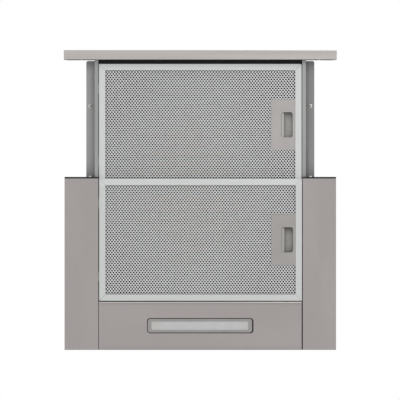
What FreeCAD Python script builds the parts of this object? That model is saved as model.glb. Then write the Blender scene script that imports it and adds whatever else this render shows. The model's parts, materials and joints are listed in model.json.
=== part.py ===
import FreeCAD, Part
import math
import os

# A telescopic under cabinet hood for a 450 mm bay, in millimetres, visor pulled out.
# +Z is up, the fascia faces -Y, +X is to the right of someone facing the hood.
# The origin is at the centre of the model's box, on its lowest plane.

V = FreeCAD.Vector

# ---- driving dimensions ----
SHEET = 0.8                  # stainless and galvanised sheet
FASCIA_WIDTH = 448.4
BODY_WIDTH = 446.0
FRONT_Y = -246.3             # front face of the fascia
BACK_Y = 246.3               # back of the body
BODY_FRONT_Y = -36.0         # front edge of the body
STRIP_FRONT_Y = -38.0        # rubber strips on the body's front edge
STRIP_BACK_Y = -35.2
STRIP_TOP = 10.0
TRAY_TOP = 46.0              # height of the lower tray and of the fascia
FASCIA_DEPTH = 15.8          # to the back plate's rear face
BACK_PLATE_STAND = 0.3       # the plate stands this far behind the fascia's edges
BACK_PLATE_THICK = 1.2
BACK_PLATE_GAP = 0.1         # between the plate's edges and the fascia's sheet
BACK_PLATE_HALF = 194.1
BACK_CAP_LOW_X = 197.2
BACK_CAP_HIGH_X = 218.0

LEFT_CHEEK_INNER_X = -167.5
RIGHT_CHEEK_INNER_X = 168.3
CHEEK_WEB_TOP = 10.6
NOTCH_GAP = 1.5              # play of a filter's tabs and bolt in the web's notches
LAMP_PANEL_LOW_X = -166.7
LAMP_PANEL_HIGH_X = 166.5
LAMP_PANEL_FRONT_Y = 167.2

FILTER_WIDTH = 333.0
FILTER_LENGTH = 200.2
FILTER_THICK = 9.0
FRAME_FACE = 10.4            # width of a filter frame member
FRAME_WALL = 0.8
MESH_SKIN = 0.8
MESH_CORE = 1.2
REAR_FILTER_Y = 65.4         # middle of the rear filter
REAR_FILTER_X = 0.4          # it sits a little towards its latch side
REAR_FILTER_Z = 0.5
FRONT_FILTER_Y = -123.7
FRONT_FILTER_Z = 12.0

LATCH_LOW_X = 116.4          # latch plate, measured from the filter's middle
LATCH_HIGH_X = 156.0
LATCH_LENGTH = 84.0
SLOT_LOW_X = 132.6
SLOT_HIGH_X = 151.9
SLOT_LENGTH = 41.4
SLOT_CORNER = 4.0
BOLT_REACH = 4.0             # how far the bolt stands past the frame
BOLT_WIDTH = 12.0
BOLT_LOW = 5.4               # heights above the filter's underside
BOLT_HIGH = 7.0
SPRING_X = 122.8             # fixed end of the latch spring
SPRING_LENGTH = 6.4
SPRING_HALF_TURNS = 5
SPRING_R = 1.5
SPRING_WIRE_R = 0.4
TAB_LOW = 5.4
TAB_HIGH = 6.9
TAB_HALF = 8.0
TAB_REACH = 4.3              # how far a tab stands past the frame
TAB_SPREAD = 60.0            # tabs each side of the filter's middle

RAIL_WEB_X = 173.8           # outer face of the visor rail's web
RAIL_FRONT_Y = -230.5
RAIL_BACK_Y = 48.0
RAIL_EDGE_X = 187.7
RAIL_COVER_Y = -228.8        # front edge of the slide cover flange
RAIL_Z = 12.0
RAIL_LIP_X = 167.7           # inner edge of the ledge
RAIL_LIP_TOP = 17.0          # top of the ledge's turned up edge
RAIL_CORNER = 3.2
MEMBER_BACK_Y = -224.6       # back of the cross member behind the fascia
RAIL_COVER_Z = 22.0
VISOR_PLATE_Z = 40.2
PLATE_BACK_Y = -26.0         # back edge of the plate over the front filter

SLIDE_OUTER_BACK_Y = 206.0
SLIDE_WEB_X = 187.0
SLIDE_LOW_Z = 24.0           # underside of the fixed channel
SLIDE_TOP_Z = 39.0
SLIDE_LIP_X = 178.5          # open side of the fixed channel
SLIDE_WALL = 1.2
SLIDE_INNER_WALL = 0.8
SLIDE_INNER_EDGE_X = 184.0   # outer edge of the moving channel
CAGE_LOW_X = 184.6
CAGE_HIGH_X = 185.2
BALL_X = 181.5
RACEWAY = 2.8                # height of the gap that the balls run in
BALL_R = 1.1
BALL_COUNT = 7
BALL_PITCH = 11.0

HOUSING_HALF = 150.0
HOUSING_FRONT_Y = -18.0
HOUSING_BACK_Y = 242.0
HOUSING_TOP = 146.0
PARTITION_Y = 122.0

FAN_X = -15.0
FAN_Y = 62.0
MOUTH_R = 50.0               # bell mouth into the wheel
THROAT_R = 42.0
MOUTH_HEIGHT = 10.0
WHEEL_R = 55.0
WHEEL_LOW_Z = 60.0
WHEEL_TOP_Z = 107.0
WHEEL_SHEET = 1.5
VOLUTE_TOP_Z = 112.0
SHAFT_R = 4.0
SHAFT_LOW_Z = 80.0
SHAFT_LENGTH = 60.0
MOTOR_EAR_R = 46.0
MOTOR_MOUNT_HEIGHT = 4.0
BLADES = 36
TONGUE_ANGLE = 60.0          # where the scroll starts, from +X

COLLAR_Y = 182.0
COLLAR_R = 60.0
COLLAR_WALL = 1.5
COLLAR_HEIGHT = 35.0
FLAP_R = 56.0
FLAP_PIN_R = 1.5
FLAP_PIN_Z = 153.0
FLAP_PIN_OFFSET = 4.0        # each flap's pin from the collar's middle line

BOX_X0 = 94.0                # control box on the deck
BOX_X1 = 146.0
BOX_Y0 = -14.0
BOX_Y1 = 106.0
BOX_WALL = 2.0
CAPACITOR_X = -128.0
SWITCH_X = 70.0              # switch for the closed visor
SWITCH_Y = 168.0
PLUNGER_Z = 36.0

GLAND_X = 120.0              # cable gland in the housing's back wall
GLAND_Z = 124.0
GLAND_HOLE_R = 8.0
GLAND_NUT_R = 11.0
GLAND_BORE_R = 4.0

LAMP_Y = 206.4
LAMP_HOLE_X = -0.1           # middle of the opening in the panel
LAMP_X = -0.7                # middle of the lamp, which sits a little to the left in it
LAMP_LENGTH = 174.8
LAMP_WIDTH = 25.0
LENS_LENGTH = 159.6
LENS_WIDTH = 14.4
LENS_GAP = 0.1
LENS_FLANGE_Z = 3.5
LAMP_GAP_X = 1.8             # gap between the bezel and the panel
LAMP_GAP_Y = 1.3
LAMP_CORNER = 5.0
LAMP_TRAY_TOP = 16.0
LED_COUNT = 12

BUTTON_X = 130.0             # middle of the row of push buttons
BUTTON_PITCH = 20.0
BUTTON_COUNT = 4
BUTTON_Z = 23.0
BUTTON_WIDTH = 14.0
BUTTON_HEIGHT = 8.0

SCREW_Y = (-154.6, -36.4, 24.0)   # rail screws, front to back
SCREW_X = 181.0
MOUNT_HOLE_R = 2.25
MOUNT_HOLE_Y = (10.0, 190.0)
MOUNT_HOLE_Z = 31.0


# ---- helpers ----
def block(x0, x1, y0, y1, z0, z1):
    """A box between two corners, given in any order."""
    lengths = (abs(x1 - x0), abs(y1 - y0), abs(z1 - z0))
    corner = V(min(x0, x1), min(y0, y1), min(z0, z1))
    return Part.makeBox(*lengths, corner)


def rod(radius, length, base, axis=V(0, 0, 1)):
    return Part.makeCylinder(radius, length, base, axis)


def ring(outer, inner, height, base, axis=V(0, 0, 1)):
    return rod(outer, height, base, axis).cut(rod(inner, height, base, axis))


def fuse(*shapes):
    return shapes[0].multiFuse(list(shapes[1:])).removeSplitter()


def rounded_plate(x0, x1, y0, y1, z0, z1, radius):
    """A plate in XY with four rounded upright edges."""
    plate = block(x0, x1, y0, y1, z0, z1)
    return plate.makeFillet(radius, upright_edges(plate, "Z"))


def upright_edges(shape, axis):
    """Edges of a box that run along one axis."""
    found = []
    for edge in shape.Edges:
        size = edge.BoundBox
        spans = {"X": size.XLength, "Y": size.YLength, "Z": size.ZLength}
        if spans[axis] > 0.99 * edge.Length and edge.Length > 0.0:
            found.append(edge)
    return found


def polygon_prism(points, direction):
    wire = Part.makePolygon([V(*point) for point in points + points[:1]])
    return Part.Face(wire).extrude(direction)


def mirrored(shape):
    return shape.mirror(V(0, 0, 0), V(1, 0, 0))


def moved(shape, x=0.0, y=0.0, z=0.0):
    copy = shape.copy()
    copy.translate(V(x, y, z))
    return copy


def save(name, *shapes):
    shape = shapes[0] if len(shapes) == 1 else Part.makeCompound(list(shapes))
    shape.exportStep("parts/" + name + ".step")


# ---- lower tray of the body ----
def cheek_sheet(side, inner):
    """Bottom panel beside the filter, turned up at its inner and front edges."""
    outer = side * BODY_WIDTH / 2
    web_outer = inner + side * SHEET
    floor = block(inner, outer, STRIP_BACK_Y, BACK_Y, 0, SHEET)
    web = block(inner, web_outer, STRIP_BACK_Y, BACK_Y, 0, CHEEK_WEB_TOP)
    front = block(inner, outer, STRIP_BACK_Y, STRIP_BACK_Y + SHEET, 0, STRIP_TOP)
    return fuse(floor, web, front)


def left_cheek_panel():
    """Cheek with two notches that the filter's tabs turn in."""
    panel = cheek_sheet(-1, LEFT_CHEEK_INNER_X)
    notch_floor = REAR_FILTER_Z + TAB_LOW - 0.4
    reach = TAB_HALF + NOTCH_GAP
    for y in (REAR_FILTER_Y - TAB_SPREAD, REAR_FILTER_Y + TAB_SPREAD):
        panel = panel.cut(block(LEFT_CHEEK_INNER_X - 2, LEFT_CHEEK_INNER_X + 1, y - reach, y + reach,
                                notch_floor, 20))
    return panel


def right_cheek_panel():
    """Cheek with one notch for the filter's latch bolt."""
    notch_half = BOLT_WIDTH / 2 + NOTCH_GAP
    notch = block(RIGHT_CHEEK_INNER_X - 1, RIGHT_CHEEK_INNER_X + 2, REAR_FILTER_Y - notch_half,
                  REAR_FILTER_Y + notch_half, REAR_FILTER_Z + BOLT_LOW - 0.4,
                  REAR_FILTER_Z + BOLT_HIGH + 1.0)
    return cheek_sheet(1, RIGHT_CHEEK_INNER_X).cut(notch)


def bumper_strips():
    """Two rubber strips that the fascia closes against."""
    strips = []
    for side, inner in ((-1, LEFT_CHEEK_INNER_X), (1, RIGHT_CHEEK_INNER_X)):
        strips.append(block(inner, side * BODY_WIDTH / 2, STRIP_FRONT_Y, STRIP_BACK_Y, 0.2, STRIP_TOP))
    return strips


def side_wall(side):
    outer = side * BODY_WIDTH / 2
    inner = side * (BODY_WIDTH / 2 - SHEET)
    wall = block(inner, outer, BODY_FRONT_Y, BACK_Y, SHEET, TRAY_TOP - SHEET)
    for y in MOUNT_HOLE_Y:
        hole = rod(MOUNT_HOLE_R, 4.0, V(outer - 2.0, y, MOUNT_HOLE_Z), V(1, 0, 0))
        wall = wall.cut(hole)
    front_gap = block(inner, outer, BODY_FRONT_Y, STRIP_BACK_Y + SHEET, 0, STRIP_TOP)
    return wall.cut(front_gap)


def back_wall():
    half = BODY_WIDTH / 2 - SHEET
    wall = block(-half, half, BACK_Y - SHEET, BACK_Y, SHEET, TRAY_TOP - SHEET)
    for side, inner in ((-1, LEFT_CHEEK_INNER_X), (1, RIGHT_CHEEK_INNER_X)):
        wall = wall.cut(block(inner, inner + side * SHEET, BACK_Y - SHEET, BACK_Y, 0,
                              CHEEK_WEB_TOP))
    return wall


def top_deck():
    """Sheet over the tray, and the blower's bell mouth riveted on round its hole."""
    half = BODY_WIDTH / 2
    centre = V(FAN_X, FAN_Y, TRAY_TOP)
    deck = block(-half, half, BODY_FRONT_Y, BACK_Y, TRAY_TOP - SHEET, TRAY_TOP)
    deck = deck.cut(rod(MOUTH_R, 4.0, centre - V(0, 0, 2.0)))
    foot = centre + V(0, 0, 0.05)
    flange = ring(MOUTH_R + 5.0, THROAT_R, SHEET, foot)
    outside = Part.makeCone(MOUTH_R, THROAT_R, MOUTH_HEIGHT, foot)
    inside = Part.makeCone(MOUTH_R - SHEET, THROAT_R - SHEET, MOUTH_HEIGHT, foot)
    return [deck, fuse(flange, outside).cut(inside)]


def lamp_panel():
    """Bottom panel behind the filters, with its front edge folded up."""
    x0 = LAMP_PANEL_LOW_X
    x1 = LAMP_PANEL_HIGH_X
    floor = block(x0, x1, LAMP_PANEL_FRONT_Y, BACK_Y, 0, SHEET)
    fold = block(x0, x1, LAMP_PANEL_FRONT_Y, LAMP_PANEL_FRONT_Y + SHEET, 0, 9.0)
    panel = fuse(floor, fold)
    outer_edge = [edge for edge in panel.Edges
                  if edge.BoundBox.XLength > x1 - x0 - 1
                  and abs(edge.BoundBox.YMax - LAMP_PANEL_FRONT_Y) < 0.01
                  and edge.BoundBox.ZMax < 0.01]
    panel = panel.makeFillet(0.7, outer_edge)
    return panel.cut(centred_plate(LAMP_HOLE_X, LAMP_LENGTH, LAMP_WIDTH, -1, 3, LAMP_CORNER))


def centred_plate(x, length, width, z0, z1, corner):
    """A rounded plate about the lamp's middle line."""
    return rounded_plate(x - length / 2, x + length / 2, LAMP_Y - width / 2, LAMP_Y + width / 2,
                         z0, z1, corner)


def lamp_bezel():
    """Moulded lamp holder: a bezel set into the panel, and a tray with a groove round it."""
    rim_length = LAMP_LENGTH - 2 * LAMP_GAP_X
    rim_width = LAMP_WIDTH - 2 * LAMP_GAP_Y
    rim_corner = LAMP_CORNER - 1.0
    flange = 10.0
    groove_top = 11.0
    rim = centred_plate(LAMP_X, rim_length, rim_width, 0.3, 3.0, rim_corner)
    tray = centred_plate(LAMP_X, LAMP_LENGTH + flange, LAMP_WIDTH + flange, SHEET + 0.2,
                         LAMP_TRAY_TOP, LAMP_CORNER + 1.0)
    groove = centred_plate(LAMP_HOLE_X, LAMP_LENGTH + 0.4, LAMP_WIDTH + 0.4, -1.0, groove_top,
                           LAMP_CORNER)
    groove = groove.cut(centred_plate(LAMP_X, rim_length, rim_width, -2.0, groove_top + 1,
                                      rim_corner))
    cavity = centred_plate(LAMP_X, LENS_LENGTH + 4, LENS_WIDTH + 4, LENS_FLANGE_Z,
                           LAMP_TRAY_TOP - 1.5, 1.0)
    window = centred_plate(LAMP_X, LENS_LENGTH, LENS_WIDTH, -1, 5, 1.5)
    return fuse(rim, tray).cut(groove).cut(cavity).cut(window)


def lamp_lens():
    """Frosted diffuser with a flange that rests inside the bezel."""
    lens = centred_plate(LAMP_X, LENS_LENGTH - 2 * LENS_GAP, LENS_WIDTH - 2 * LENS_GAP,
                         0.9, LENS_FLANGE_Z, 1.4)
    flange = centred_plate(LAMP_X, LENS_LENGTH + 3, LENS_WIDTH + 3, LENS_FLANGE_Z,
                           LENS_FLANGE_Z + 1.2, 0.5)
    return fuse(lens, flange)


def lamp_board():
    """Circuit strip with a row of light emitting diodes facing down."""
    board_z = LAMP_TRAY_TOP - 2.7
    strip = centred_plate(LAMP_X, LENS_LENGTH - 4, 12.0, board_z, board_z + 1.2, 0.5)
    led_pitch = 13.0
    first_x = LAMP_X - (LED_COUNT - 1) * led_pitch / 2
    leds = []
    for index in range(LED_COUNT):
        x = first_x + index * led_pitch
        leds.append(block(x - 1.75, x + 1.75, LAMP_Y - 1.4, LAMP_Y + 1.4, board_z - 0.8, board_z))
    return fuse(strip, *leds)


# ---- motor housing ----
def motor_housing_walls():
    """Four upright walls of the upper box, with a fine seam at each corner."""
    seam = 0.1
    top = HOUSING_TOP - SHEET
    front = block(-HOUSING_HALF, HOUSING_HALF, HOUSING_FRONT_Y, HOUSING_FRONT_Y + SHEET,
                  TRAY_TOP, top)
    back = block(-HOUSING_HALF, HOUSING_HALF, HOUSING_BACK_Y - SHEET, HOUSING_BACK_Y,
                 TRAY_TOP, top)
    back = back.cut(rod(GLAND_HOLE_R, 4 * SHEET, V(GLAND_X, HOUSING_BACK_Y - 2 * SHEET, GLAND_Z),
                        V(0, 1, 0)))
    side = block(-HOUSING_HALF, -HOUSING_HALF + SHEET, HOUSING_FRONT_Y + SHEET + seam,
                 HOUSING_BACK_Y - SHEET - seam, TRAY_TOP, top)
    return [front, back, side, mirrored(side)]


def motor_housing_lid():
    lid = block(-HOUSING_HALF, HOUSING_HALF, HOUSING_FRONT_Y, HOUSING_BACK_Y,
                HOUSING_TOP - SHEET, HOUSING_TOP)
    outlet = rod(COLLAR_R - COLLAR_WALL, 4.0, V(0, COLLAR_Y, HOUSING_TOP - 2))
    return lid.cut(outlet)


def spiral_points(wall_offset):
    """Arc ends and middles of the scroll: three arcs, each 9 mm wider than the last."""
    inner_r = WHEEL_R + 8.0
    start_r = inner_r + wall_offset
    tongue_x = inner_r * math.cos(math.radians(TONGUE_ANGLE)) - wall_offset
    start_angle = math.degrees(math.acos(tongue_x / start_r))
    step = 9.0
    centres = [(FAN_X - step / 2, FAN_Y - step / 2),
               (FAN_X + step / 2, FAN_Y - step / 2),
               (FAN_X + step / 2, FAN_Y + step / 2)]
    spans = [(start_angle, 180.0), (180.0, 270.0), (270.0, 360.0)]
    arcs = []
    for index, (centre, span) in enumerate(zip(centres, spans)):
        radius = start_r + index * step
        ends = []
        for angle in (span[0], sum(span) / 2, span[1]):
            turn = math.radians(angle)
            x = centre[0] + radius * math.cos(turn)
            y = centre[1] + radius * math.sin(turn)
            ends.append(V(x, y, TRAY_TOP))
        arcs.append(ends)
    return arcs


def volute_wall():
    """Scroll sheet round the wheel, ending in the outlet's two straight sides."""
    inner = spiral_points(0.0)
    outer = spiral_points(SHEET)
    inner_end = V(inner[2][2].x, PARTITION_Y, TRAY_TOP)
    outer_end = V(outer[2][2].x, PARTITION_Y, TRAY_TOP)
    tongue_inner = V(inner[0][0].x, PARTITION_Y, TRAY_TOP)
    tongue_outer = V(outer[0][0].x, PARTITION_Y, TRAY_TOP)
    edges = [Part.makeLine(tongue_inner, inner[0][0])]
    edges += [Part.Arc(*ends).toShape() for ends in inner]
    edges.append(Part.makeLine(inner[2][2], inner_end))
    edges.append(Part.makeLine(inner_end, outer_end))
    edges.append(Part.makeLine(outer_end, outer[2][2]))
    edges += [Part.Arc(*ends[::-1]).toShape() for ends in outer[::-1]]
    edges.append(Part.makeLine(outer[0][0], tongue_outer))
    edges.append(Part.makeLine(tongue_outer, tongue_inner))
    height = VOLUTE_TOP_Z - TRAY_TOP
    return Part.Face(Part.Wire(edges)).extrude(V(0, 0, height))


def volute_lid():
    lid = block(-100, 90, HOUSING_FRONT_Y + SHEET, PARTITION_Y, VOLUTE_TOP_Z, VOLUTE_TOP_Z + SHEET)
    return lid.cut(rod(8.0, 4.0, V(FAN_X, FAN_Y, VOLUTE_TOP_Z - 2)))


def outlet_partition():
    """Wall between the blower and the outlet chamber under the collar."""
    half = HOUSING_HALF - SHEET
    wall = block(-half, half, PARTITION_Y, PARTITION_Y + SHEET, TRAY_TOP, HOUSING_TOP - SHEET)
    arcs = spiral_points(0.0)
    opening = block(arcs[0][0].x + SHEET, arcs[2][2].x - 0.5, PARTITION_Y - 2, PARTITION_Y + 3,
                    TRAY_TOP + 2, VOLUTE_TOP_Z - 1)
    return wall.cut(opening)


def motor_ear_places():
    """Middles of the motor's four ears, seen from above."""
    places = []
    for quarter in range(4):
        turn = math.radians(45 + 90 * quarter)
        places.append((FAN_X + MOTOR_EAR_R * math.cos(turn), FAN_Y + MOTOR_EAR_R * math.sin(turn)))
    return places


def motor_body():
    """Induction motor with end bells and a bore for its shaft."""
    base = VOLUTE_TOP_Z + SHEET + MOTOR_MOUNT_HEIGHT
    core = rod(40.0, 14.0, V(FAN_X, FAN_Y, base + 5))
    low_bell = Part.makeCone(24.0, 36.0, 5.0, V(FAN_X, FAN_Y, base))
    top_bell = Part.makeCone(36.0, 20.0, 6.0, V(FAN_X, FAN_Y, base + 19))
    ears = []
    for quarter, (x, y) in enumerate(motor_ear_places()):
        ears.append(rod(7.0, 3.0, V(x, y, base)))
        arm = block(30, MOTOR_EAR_R, -5, 5, base, base + 3)
        arm.rotate(V(0, 0, 0), V(0, 0, 1), 45 + 90 * quarter)
        ears.append(moved(arm, FAN_X, FAN_Y))
    join = rod(37.0, 3.0, V(FAN_X, FAN_Y, base + 3))
    motor = fuse(core, low_bell, top_bell, join, *ears)
    return motor.cut(rod(SHAFT_R + 0.05, 60.0, V(FAN_X, FAN_Y, base - 10)))


def motor_mounts():
    """Four rubber bushes between the volute lid and the motor's ears."""
    return [rod(6.0, MOTOR_MOUNT_HEIGHT, V(x, y, VOLUTE_TOP_Z + SHEET))
            for x, y in motor_ear_places()]


def motor_shaft():
    return rod(SHAFT_R, SHAFT_LENGTH, V(FAN_X, FAN_Y, SHAFT_LOW_Z))


def impeller():
    """Forward curved wheel: its plate with the hub, and the ring that holds the blades' ends."""
    plate_low_z = WHEEL_TOP_Z - WHEEL_SHEET
    plate = rod(WHEEL_R, WHEEL_SHEET, V(FAN_X, FAN_Y, plate_low_z))
    hub = rod(10.0, 20.0, V(FAN_X, FAN_Y, plate_low_z - 20.0))
    shaft_hole = rod(SHAFT_R, 40.0, V(FAN_X, FAN_Y, WHEEL_TOP_Z - 30))
    low_ring = ring(WHEEL_R, WHEEL_R - 9.0, WHEEL_SHEET, V(FAN_X, FAN_Y, WHEEL_LOW_Z))
    return [fuse(plate, hub).cut(shaft_hole), low_ring]


def impeller_blades():
    """Curved blades between the wheel's plate and its ring."""
    seam = 0.05
    low_z = WHEEL_LOW_Z + WHEEL_SHEET + seam
    height = WHEEL_TOP_Z - WHEEL_SHEET - seam - low_z
    blade = ring(9.0, 8.2, height, V(0, 0, 0))
    blade = blade.common(Part.makeCylinder(12.0, 80.0, V(0, 0, -5), V(0, 0, 1), 62.0))
    blades = []
    for index in range(BLADES):
        piece = moved(blade, WHEEL_R - 8.8, -4.0, low_z)
        piece.rotate(V(0, 0, 0), V(0, 0, 1), index * 360.0 / BLADES)
        blades.append(moved(piece, FAN_X, FAN_Y))
    return blades


# ---- outlet collar and its flaps ----
def duct_collar():
    """Outlet spigot with a foot flange, a flap stop ledge and two flap pins."""
    foot = V(0, COLLAR_Y, HOUSING_TOP)
    bore_r = COLLAR_R - COLLAR_WALL
    tube = ring(COLLAR_R, bore_r, COLLAR_HEIGHT, foot)
    flange_edge = HOUSING_BACK_Y - COLLAR_Y + 4.0
    flange = ring(flange_edge, bore_r, 2.0, foot)
    ledge = ring(bore_r + 0.5, bore_r - 5.0, 1.5, foot + V(0, 0, 3.0))
    pins = []
    for side in (-1, 1):
        start = V(-bore_r - 0.5, COLLAR_Y + side * FLAP_PIN_OFFSET, FLAP_PIN_Z)
        pins.append(rod(FLAP_PIN_R, 2 * bore_r + 1.0, start, V(1, 0, 0)))
    return fuse(tube, flange, ledge, *pins)


def damper_flap(side):
    """Half disc that lies on the ledge, turning about a pin beside the middle line."""
    pin_y = COLLAR_Y + side * FLAP_PIN_OFFSET
    disc = rod(FLAP_R, 1.2, V(0, COLLAR_Y, FLAP_PIN_Z - 0.6))
    far = COLLAR_Y + side * (FLAP_R + 5)
    half = disc.common(block(-FLAP_R, FLAP_R, pin_y, far, FLAP_PIN_Z - 5, FLAP_PIN_Z + 5))
    knuckle_r = FLAP_PIN_R + 1.2
    knuckle = rod(knuckle_r, 100.0, V(-50, pin_y, FLAP_PIN_Z), V(1, 0, 0))
    flap = fuse(half, knuckle)
    bore = rod(FLAP_PIN_R + 0.08, 2 * FLAP_R, V(-FLAP_R, pin_y, FLAP_PIN_Z), V(1, 0, 0))
    flap = flap.cut(bore)
    for end in (-1, 1):
        clear = block(end * 50, end * 60, pin_y - 3.5, pin_y + 3.5, FLAP_PIN_Z - 4, FLAP_PIN_Z + 4)
        flap = flap.cut(clear)
    return flap


# ---- electrics in the motor housing ----
def control_box():
    """Open topped plastic tray on the deck that holds the board."""
    outside = block(BOX_X0, BOX_X1, BOX_Y0, BOX_Y1, TRAY_TOP, TRAY_TOP + 34)
    wall = BOX_WALL
    inside = block(BOX_X0 + wall, BOX_X1 - wall, BOX_Y0 + wall, BOX_Y1 - wall,
                   TRAY_TOP + wall, TRAY_TOP + 40)
    return outside.cut(inside)


def control_board():
    """Board on four posts, with a transformer and three relays."""
    gap = BOX_WALL + 1.0
    board_z = TRAY_TOP + BOX_WALL + 4.0
    board_top = board_z + 1.6
    board = block(BOX_X0 + gap, BOX_X1 - gap, BOX_Y0 + gap, BOX_Y1 - gap, board_z, board_top)
    posts = []
    for x in (BOX_X0 + 7, BOX_X1 - 7):
        for y in (BOX_Y0 + 7, BOX_Y1 - 7):
            posts.append(rod(3.0, 4.5, V(x, y, TRAY_TOP + BOX_WALL)))
    transformer = block(BOX_X0 + 8, BOX_X0 + 38, BOX_Y0 + 24, BOX_Y0 + 50, board_top, board_top + 22)
    relays = []
    for index in range(3):
        y = BOX_Y0 + 58 + 18 * index
        relays.append(block(BOX_X0 + 9, BOX_X0 + 24, y, y + 12, board_top, board_top + 15))
    return fuse(board, transformer, *posts, *relays)


def capacitor():
    """Motor run capacitor lying in a cradle on the deck beside the scroll."""
    radius = 13.0
    start_y = 20.0
    length = 48.0
    can = rod(radius, length, V(CAPACITOR_X, start_y, TRAY_TOP + radius), V(0, 1, 0))
    cradle = block(CAPACITOR_X - 9, CAPACITOR_X + 9, start_y, start_y + length, TRAY_TOP,
                   TRAY_TOP + 4)
    return fuse(can, cradle)


def terminal_block():
    """Mains terminals on the outlet chamber's right wall, under the cable inlet."""
    low_x = 134.0
    low_y = 196.0
    low_z = 108.0
    body = block(low_x, HOUSING_HALF - SHEET, low_y, low_y + 36, low_z, low_z + 10)
    for index in range(3):
        screw_well = rod(2.5, 6.0, V(low_x + 6, low_y + 6 + 12 * index, low_z + 5))
        body = body.cut(screw_well)
    return body


def cable_gland():
    """Threaded inlet with a hexagon outside the back wall, bored for the mains cord."""
    along = V(0, 1, 0)
    centre = V(GLAND_X, HOUSING_BACK_Y, GLAND_Z)
    barrel = rod(GLAND_HOLE_R - 0.1, 16.0, centre - V(0, 12, 0), along)
    lock_ring = rod(GLAND_NUT_R, 3.0, centre - V(0, SHEET + 3.0, 0), along)
    points = []
    for index in range(6):
        turn = math.radians(60 * index)
        points.append((GLAND_X + GLAND_NUT_R * math.cos(turn), HOUSING_BACK_Y,
                       GLAND_Z + GLAND_NUT_R * math.sin(turn)))
    hexagon = polygon_prism(points, V(0, BACK_Y - HOUSING_BACK_Y, 0))
    bore = rod(GLAND_BORE_R, 30.0, centre - V(0, 14, 0), along)
    return fuse(barrel, lock_ring, hexagon).cut(bore)


def microswitch_body():
    """Snap switch under the deck that senses the closed visor."""
    back_y = SWITCH_Y + 6.5
    body = block(SWITCH_X - 10, SWITCH_X + 10, SWITCH_Y, back_y, 28, 39)
    bracket = block(SWITCH_X - 12, SWITCH_X + 12, back_y, back_y + SHEET, 28, TRAY_TOP - SHEET)
    bore = rod(1.6, 8.5, V(SWITCH_X, SWITCH_Y - 4.0, PLUNGER_Z), V(0, 1, 0))
    return fuse(body, bracket).cut(bore)


def microswitch_plunger():
    return rod(1.3, 5.0, V(SWITCH_X, SWITCH_Y - 3.2, PLUNGER_Z), V(0, 1, 0))


# ---- visor slides ----
def left_slide_outer():
    """Fixed channel of the ball slide with its foot under the deck."""
    y0 = BODY_FRONT_Y + 2.0
    y1 = SLIDE_OUTER_BACK_Y
    web = block(-SLIDE_WEB_X, -SLIDE_WEB_X + SLIDE_WALL, y0, y1, SLIDE_LOW_Z, TRAY_TOP - SHEET)
    low = block(-SLIDE_WEB_X, -SLIDE_LIP_X, y0, y1, SLIDE_LOW_Z, SLIDE_LOW_Z + SLIDE_WALL)
    high = block(-SLIDE_WEB_X, -SLIDE_LIP_X, y0, y1, SLIDE_TOP_Z - SLIDE_WALL, SLIDE_TOP_Z)
    foot = block(-SLIDE_WEB_X - 12, -SLIDE_WEB_X + SLIDE_WALL, y0, y1, TRAY_TOP - 2 * SHEET,
                 TRAY_TOP - SHEET)
    return fuse(web, low, high, foot)


def left_slide_inner():
    """Moving channel of the ball slide, riveted to the rail."""
    y0 = RAIL_COVER_Y
    y1 = RAIL_BACK_Y
    low_z = SLIDE_LOW_Z + SLIDE_WALL + RACEWAY
    high_z = SLIDE_TOP_Z - SLIDE_WALL - RACEWAY
    web_x = -RAIL_WEB_X - SLIDE_INNER_WALL
    web = block(web_x, -RAIL_WEB_X, y0, y1, low_z, high_z)
    low = block(-SLIDE_INNER_EDGE_X, web_x, y0, y1, low_z, low_z + SLIDE_INNER_WALL)
    high = block(-SLIDE_INNER_EDGE_X, web_x, y0, y1, high_z - SLIDE_INNER_WALL, high_z)
    return fuse(web, low, high)


def left_slide_cage():
    """Thin strip that keeps the balls apart in both raceways."""
    y0 = BODY_FRONT_Y + 4.0
    y1 = RAIL_BACK_Y - 2.0
    half = 0.3
    low_z = SLIDE_LOW_Z + SLIDE_WALL + RACEWAY / 2
    high_z = SLIDE_TOP_Z - SLIDE_WALL - RACEWAY / 2
    web = block(-CAGE_HIGH_X, -CAGE_LOW_X, y0, y1, low_z - half, high_z + half)
    pieces = [web]
    for z in (low_z, high_z):
        pieces.append(block(-CAGE_HIGH_X, -180.0, y0, y1, z - half, z + half))
        for index in range(BALL_COUNT):
            y = y0 + 6.0 + index * BALL_PITCH
            pieces.append(Part.makeSphere(BALL_R, V(-BALL_X, y, z)))
    return fuse(*pieces)


# ---- visor ----
def fascia():
    """Folded front: an open backed box with closed ends and the button window."""
    half = FASCIA_WIDTH / 2
    back = FRONT_Y + FASCIA_DEPTH - BACK_PLATE_STAND
    outside = block(-half, half, FRONT_Y, back, 0, TRAY_TOP)
    edges = [edge for edge in upright_edges(outside, "X") if edge.BoundBox.YMax < FRONT_Y + 1]
    outside = outside.makeFillet(1.0, edges)
    inside = block(-half + SHEET, half - SHEET, FRONT_Y + SHEET, back + 1, SHEET, TRAY_TOP - SHEET)
    window_half = BUTTON_COUNT * BUTTON_PITCH / 2 + 2
    window = block(BUTTON_X - window_half, BUTTON_X + window_half, FRONT_Y - 1, FRONT_Y + 2,
                   BUTTON_Z - 7, BUTTON_Z + 7)
    return outside.cut(inside).cut(window)


def fascia_back_plate():
    """Dark plate in the back of the fascia, with a cap beyond each of its ends."""
    back = FRONT_Y + FASCIA_DEPTH
    front = back - BACK_PLATE_THICK
    edge = SHEET + BACK_PLATE_GAP
    spans = [(-BACK_CAP_HIGH_X, -BACK_CAP_LOW_X), (-BACK_PLATE_HALF, BACK_PLATE_HALF),
             (BACK_CAP_LOW_X, BACK_CAP_HIGH_X)]
    return [block(x0, x1, front, back, edge, TRAY_TOP - edge) for x0, x1 in spans]


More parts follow.
